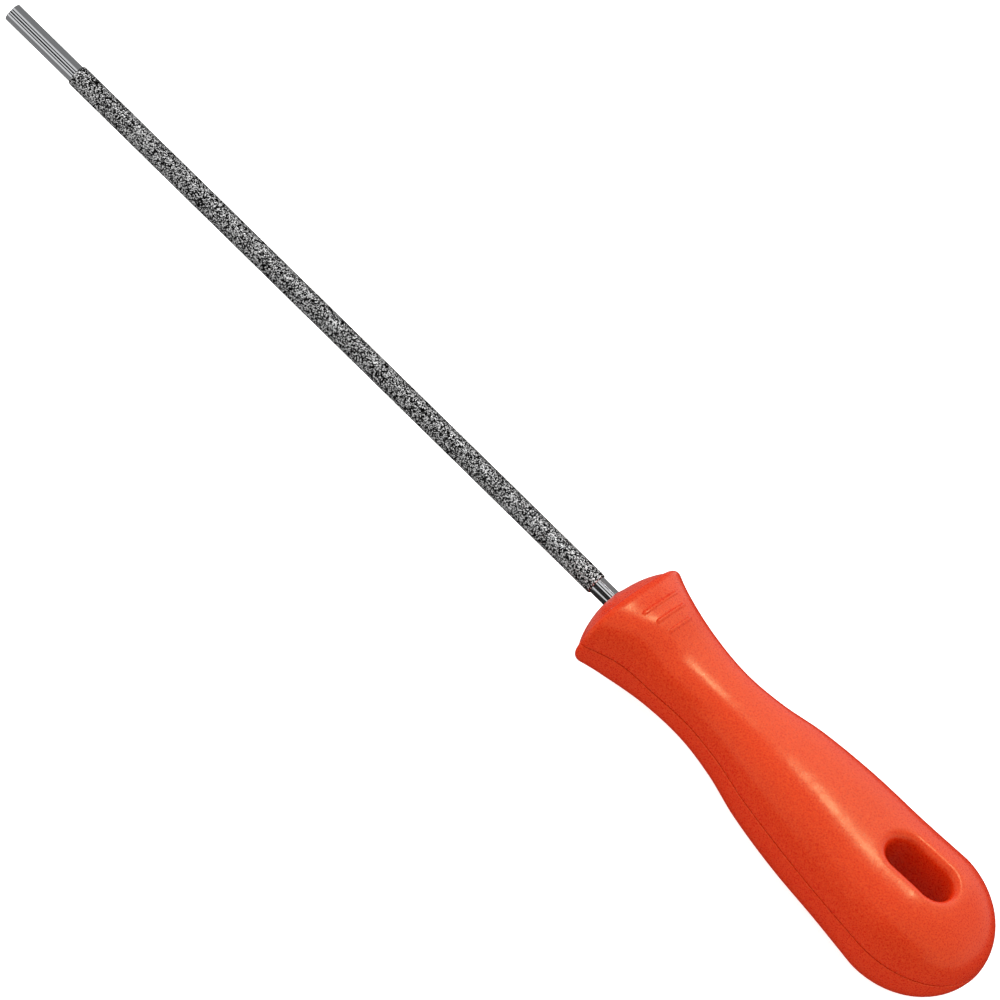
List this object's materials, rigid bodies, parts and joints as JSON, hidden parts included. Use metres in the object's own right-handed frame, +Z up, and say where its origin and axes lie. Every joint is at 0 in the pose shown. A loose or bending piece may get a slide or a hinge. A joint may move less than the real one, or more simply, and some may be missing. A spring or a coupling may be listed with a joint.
{
  "type": "knife sharpening steel",
  "caption": "Knife sharpening steel: a straight round rod with a bonded grit coating and a plain tip, in a waisted two-shell moulded handle with a hanging slot.",
  "frame": {"origin": "on the surface that the handle's back lies on, under the middle of the whole object's box", "axes": "+X runs along the rod from its tip towards the handle's butt, +Z is up out of the front shell along the hanging slot, and the joint between the shells lies level in the XY plane's direction"},
  "size_m": [0.3302, 0.0402, 0.0302],
  "materials": {
    "bright_steel": "bright drawn and polished bar, fine lengthwise lines",
    "bonded_grit": "abrasive grains held in a dull grey plated metal bond, sparkling and rough",
    "handle_plastic": "orange-red injection-moulded plastic, satin gloss with a very fine moulded texture"
  },
  "bodies": {
    "root": {"steel_rod": "bright_steel", "grit_sleeve": "bonded_grit", "handle_front_shell": "handle_plastic", "handle_back_shell": "handle_plastic"}
  },
  "joints": []
}
